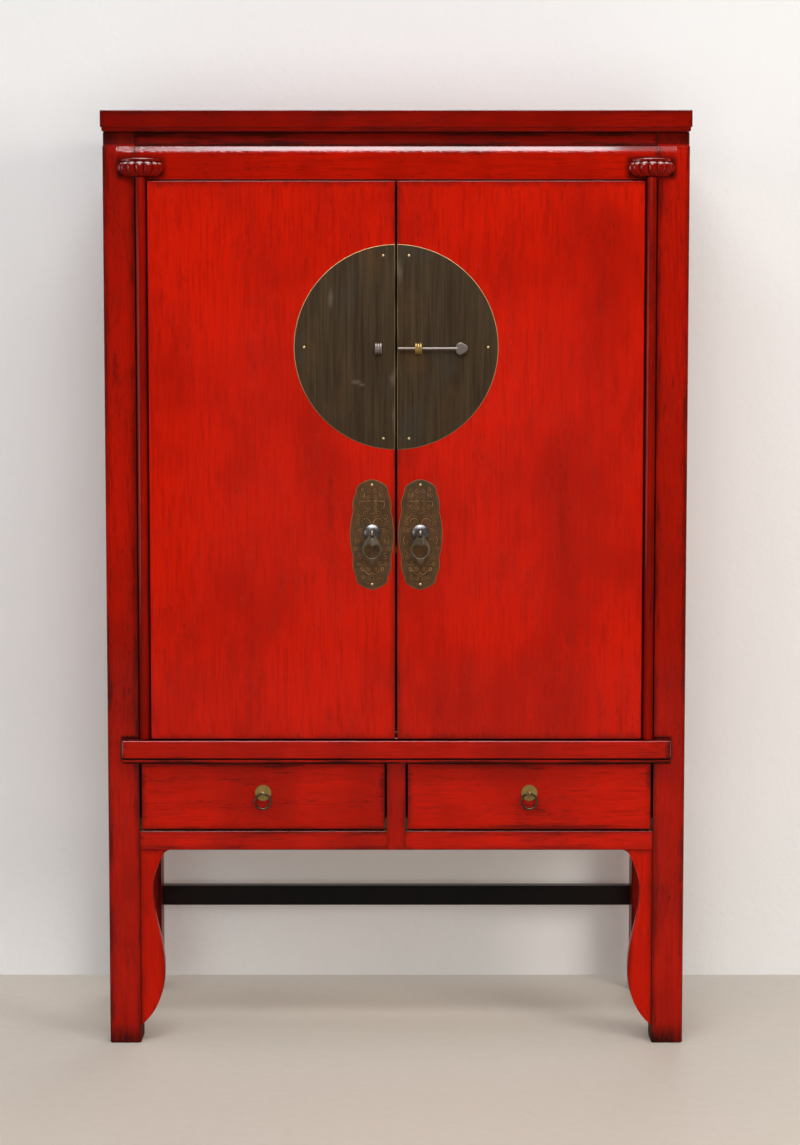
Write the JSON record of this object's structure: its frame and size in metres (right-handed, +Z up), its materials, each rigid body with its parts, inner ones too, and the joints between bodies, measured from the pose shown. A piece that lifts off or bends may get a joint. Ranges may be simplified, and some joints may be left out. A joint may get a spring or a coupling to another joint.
{
  "type": "chinese wedding cabinet",
  "caption": "Tall red lacquered wedding cabinet on posts, pivot-hung doors with a round brass plate, lock pin and drop pulls, over ring-pull drawers with shaped leg brackets.",
  "frame": {"origin": "on the floor under the middle of the bounding box", "axes": "+X to the right as the doors are faced, +Y to the back, +Z up"},
  "size_m": [1.152, 0.536, 1.85],
  "materials": {
    "red_lacquer": "glossy red lacquer, rubbed dark at the edges",
    "black_lacquer": "black lacquer",
    "bare_wood": "bare planed softwood",
    "antique_brass": "dark antique patina",
    "dark_brass": "dark hammered brass",
    "worn_brass": "brass rubbed bright by use"
  },
  "bodies": {
    "cabinet": {"top_board": "red_lacquer", "neck_board": "red_lacquer", "post_front_right": "red_lacquer", "post_front_left": "red_lacquer", "post_rear_right": "red_lacquer", "post_rear_left": "red_lacquer", "top_rail_front": "red_lacquer", "sill_rail": "red_lacquer", "bottom_rail_front": "red_lacquer", "drawer_divider": "red_lacquer", "leg_bracket_right": "red_lacquer", "leg_bracket_left": "red_lacquer", "side_rails_right": "red_lacquer", "side_rails_left": "red_lacquer", "side_panels_right": "red_lacquer", "side_panels_left": "red_lacquer", "back_frame": "bare_wood", "back_panels": "bare_wood", "rear_stretcher": "black_lacquer", "compartment_floor": "bare_wood", "bottom_board": "bare_wood", "drawer_runners": "bare_wood", "shelves": "bare_wood", "shelf_cleats": "bare_wood", "pivot_socket_right": "red_lacquer", "pivot_socket_left": "red_lacquer"},
    "door_right": {"door_panel_right": "red_lacquer", "door_pivot_stile_right": "red_lacquer", "door_battens_right": "bare_wood", "disc_half_right": "antique_brass", "door_nails_right": "antique_brass", "handle_plate_right": "antique_brass", "pull_boss_right": "dark_brass", "pull_cotter_right": "worn_brass", "staple_right": "antique_brass"},
    "door_left": {"door_panel_left": "red_lacquer", "door_pivot_stile_left": "red_lacquer", "door_battens_left": "bare_wood", "disc_half_left": "antique_brass", "door_nails_left": "antique_brass", "handle_plate_left": "antique_brass", "pull_boss_left": "dark_brass", "pull_cotter_left": "worn_brass", "staple_left": "antique_brass"},
    "lock_pin": {"lock_pin": "antique_brass"},
    "drop_right": {"pull_drop_right": "dark_brass"},
    "drop_left": {"pull_drop_left": "dark_brass"},
    "drawer_right": {"drawer_front_right": "red_lacquer", "drawer_box_right": "bare_wood", "drawer_bottom_right": "bare_wood", "drawer_rosette_right": "worn_brass", "drawer_cotter_right": "worn_brass"},
    "drawer_left": {"drawer_front_left": "red_lacquer", "drawer_box_left": "bare_wood", "drawer_bottom_left": "bare_wood", "drawer_rosette_left": "worn_brass", "drawer_cotter_left": "worn_brass"},
    "ring_right": {"drawer_ring_right": "dark_brass"},
    "ring_left": {"drawer_ring_left": "dark_brass"}
  },
  "joints": [
    {"name": "door_right_hinge", "type": "hinge", "parent": "cabinet", "child": "door_right", "pos_m": [0.498, -0.243, 1.16525], "axis": [0, 0, 1], "range_deg": [0, 170]},
    {"name": "door_left_hinge", "type": "hinge", "parent": "cabinet", "child": "door_left", "pos_m": [-0.498, -0.243, 1.16525], "axis": [0, 0, -1], "range_deg": [0, 170]},
    {"name": "lock_pin_slide", "type": "slide", "parent": "door_right", "child": "lock_pin", "axis": [1, 0, 0], "range_m": [-0.066, 0.036]},
    {"name": "drop_right_hinge", "type": "hinge", "parent": "door_right", "child": "drop_right", "pos_m": [0.0475, -0.2628, 1.026], "axis": [-1, 0, 0], "range_deg": [-8, 170]},
    {"name": "drop_left_hinge", "type": "hinge", "parent": "door_left", "child": "drop_left", "pos_m": [-0.0475, -0.2628, 1.026], "axis": [-1, 0, 0], "range_deg": [-8, 170]},
    {"name": "drawer_right_slide", "type": "slide", "parent": "cabinet", "child": "drawer_right", "axis": [0, -1, 0], "range_m": [0, 0.32]},
    {"name": "drawer_left_slide", "type": "slide", "parent": "cabinet", "child": "drawer_left", "axis": [0, -1, 0], "range_m": [0, 0.32]},
    {"name": "ring_right_hinge", "type": "hinge", "parent": "drawer_right", "child": "ring_right", "pos_m": [0.26475, -0.2392, 0.5063], "axis": [-1, 0, 0], "range_deg": [-5, 170]},
    {"name": "ring_left_hinge", "type": "hinge", "parent": "drawer_left", "child": "ring_left", "pos_m": [-0.26475, -0.2392, 0.5063], "axis": [-1, 0, 0], "range_deg": [-5, 170]}
  ]
}
